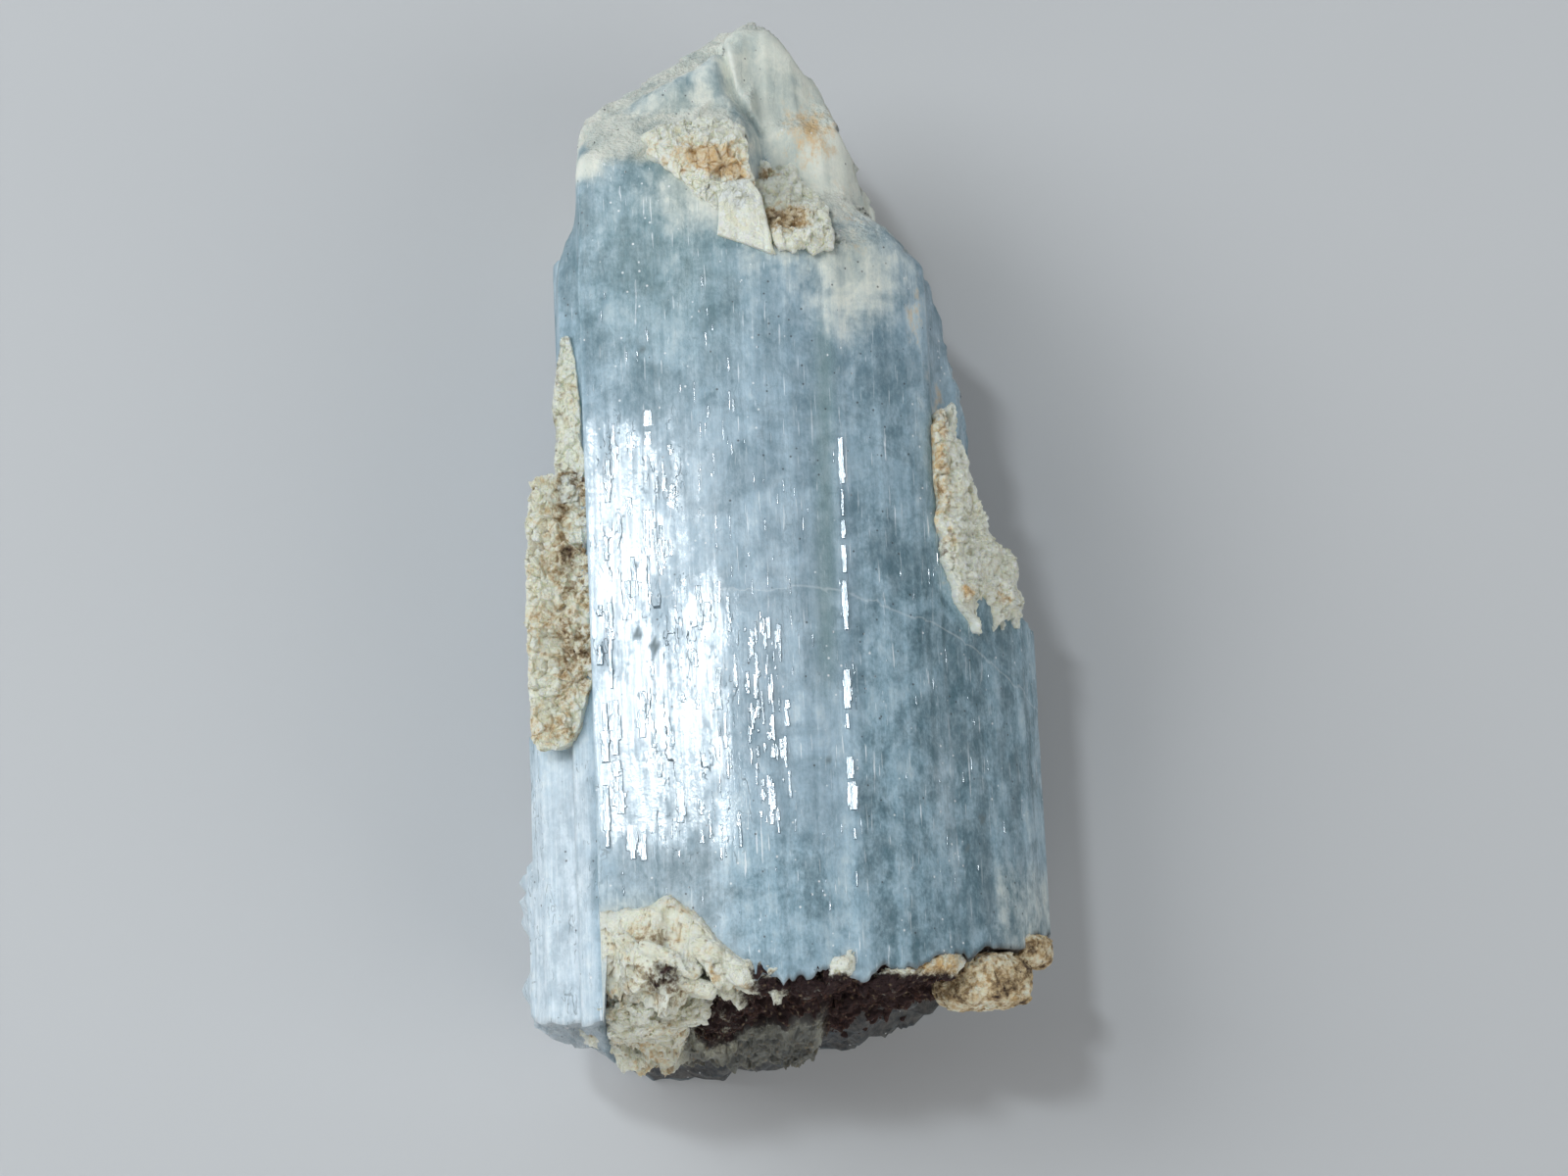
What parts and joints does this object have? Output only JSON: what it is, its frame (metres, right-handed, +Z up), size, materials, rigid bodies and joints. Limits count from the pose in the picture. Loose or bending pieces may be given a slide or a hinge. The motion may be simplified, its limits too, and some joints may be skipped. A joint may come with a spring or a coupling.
{
  "type": "aquamarine crystal",
  "caption": "Broken, lengthwise-striated prism of milky blue-grey aquamarine with crusts of cream and rust-stained feldspar matrix, lying on its back face.",
  "frame": {"origin": "centre of the specimen's bounding box in plan, at the height of the flat back face that it rests on", "axes": "+Y along the crystal's long axis, from its broken base to its summit; +Z up, out of the broad striated front; +X to the right of someone who looks down on the front with the summit away from them"},
  "size_m": [0.0278, 0.0566, 0.0231],
  "materials": {
    "aquamarine": "milky translucent, etched and striated natural faces, glossy where flat",
    "feldspar": "granular, matte, cream and tan",
    "stained_feldspar": "granular, matte, cream stained brown and purplish by iron"
  },
  "bodies": {
    "root": {"aquamarine_crystal": "aquamarine", "matrix_left_slab": "feldspar", "matrix_right_shoulder": "feldspar", "matrix_top_crust": "feldspar", "matrix_base_crust": "stained_feldspar", "matrix_base_lump": "stained_feldspar"}
  },
  "joints": []
}
